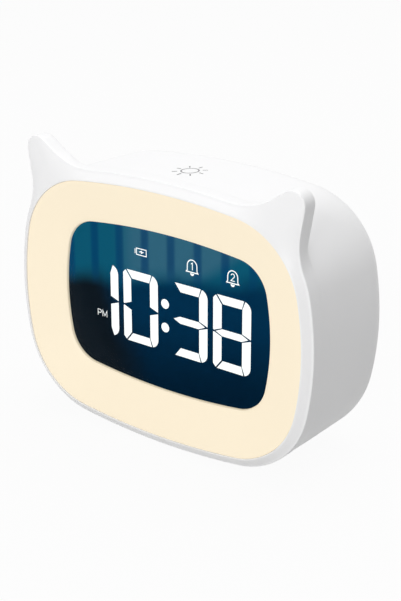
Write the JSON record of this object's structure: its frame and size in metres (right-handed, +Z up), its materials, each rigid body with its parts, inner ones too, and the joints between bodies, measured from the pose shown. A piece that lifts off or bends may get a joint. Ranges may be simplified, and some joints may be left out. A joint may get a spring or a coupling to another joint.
{
  "type": "alarm clock with night light",
  "caption": "Bedside alarm clock with cat-ear housing, dished ring night light, dark digital display window and rear push keys.",
  "frame": {"origin": "on the table, under the middle of the clock's bounding box", "axes": "face looks along -Y, +X to the viewer's right, +Z up"},
  "size_m": [0.129, 0.053, 0.1038],
  "materials": {
    "shell_white": "satin moulded ABS, white",
    "cover_white": "satin moulded ABS, white",
    "ring_diffuser": "opal polycarbonate, lit warm cream",
    "lens_clear": "clear polished acrylic",
    "tape_black": "black foam tape",
    "mask_film": "dark teal to navy mirror film",
    "reflector_black": "black moulded cell block",
    "segment_white": "white light guides, lit",
    "circuit_board": "green solder mask",
    "lamp_board": "white solder mask",
    "led_warm": "yellow phosphor lamp packages",
    "tray_white": "white moulded ABS",
    "screw_steel": "zinc plated",
    "chip_black": "moulded epoxy",
    "socket_metal": "nickel plated can",
    "speaker_metal": "black pressed basket",
    "cone_paper": "black pressed paper",
    "foam_black": "closed-cell foam",
    "lead_jacket": "insulated wire",
    "cell_wrap": "blue shrink wrap",
    "copper_foil": "copper foil",
    "ribbon_film": "polyimide film",
    "foot_rubber": "soft white silicone",
    "key_white": "satin moulded ABS, white",
    "stem_grey": "moulded nylon"
  },
  "bodies": {
    "clock": {"main_shell": "shell_white", "back_cover": "cover_white", "light_ring": "ring_diffuser", "display_lens": "lens_clear", "lens_tape": "tape_black", "display_mask": "mask_film", "display_reflector": "reflector_black", "digit_segments": "segment_white", "colon_dots": "segment_white", "sign_windows": "segment_white", "display_board": "circuit_board", "display_screws": "screw_steel", "light_tray": "tray_white", "light_board": "lamp_board", "light_leds": "led_warm", "tray_screws": "screw_steel", "main_board": "circuit_board", "board_parts": "chip_black", "board_screws": "screw_steel", "switch_bases": "chip_black", "usb_socket": "socket_metal", "speaker_frame": "speaker_metal", "speaker_cone": "cone_paper", "speaker_gasket": "foam_black", "speaker_leads": "lead_jacket", "battery_cell": "cell_wrap", "battery_cradle": "tray_white", "battery_leads": "lead_jacket", "touch_plate": "copper_foil", "touch_lead": "lead_jacket", "ribbon_cable": "ribbon_film", "cover_screws": "screw_steel", "rubber_feet": "foot_rubber"},
    "set_button": {"set_key": "key_white", "set_switch_stem": "stem_grey"},
    "alarm_button": {"alarm_key": "key_white", "alarm_switch_stem": "stem_grey"},
    "minus_button": {"minus_key": "key_white", "minus_switch_stem": "stem_grey"},
    "plus_button": {"plus_key": "key_white", "plus_switch_stem": "stem_grey"}
  },
  "joints": [
    {"name": "set_press", "type": "slide", "parent": "clock", "child": "set_button", "axis": [0, -1, 0], "range_m": [0, 0.0005], "stiffness_N_per_m": 2000},
    {"name": "alarm_press", "type": "slide", "parent": "clock", "child": "alarm_button", "axis": [0, -1, 0], "range_m": [0, 0.0005], "stiffness_N_per_m": 2000},
    {"name": "minus_press", "type": "slide", "parent": "clock", "child": "minus_button", "axis": [0, -1, 0], "range_m": [0, 0.0005], "stiffness_N_per_m": 2000},
    {"name": "plus_press", "type": "slide", "parent": "clock", "child": "plus_button", "axis": [0, -1, 0], "range_m": [0, 0.0005], "stiffness_N_per_m": 2000}
  ]
}
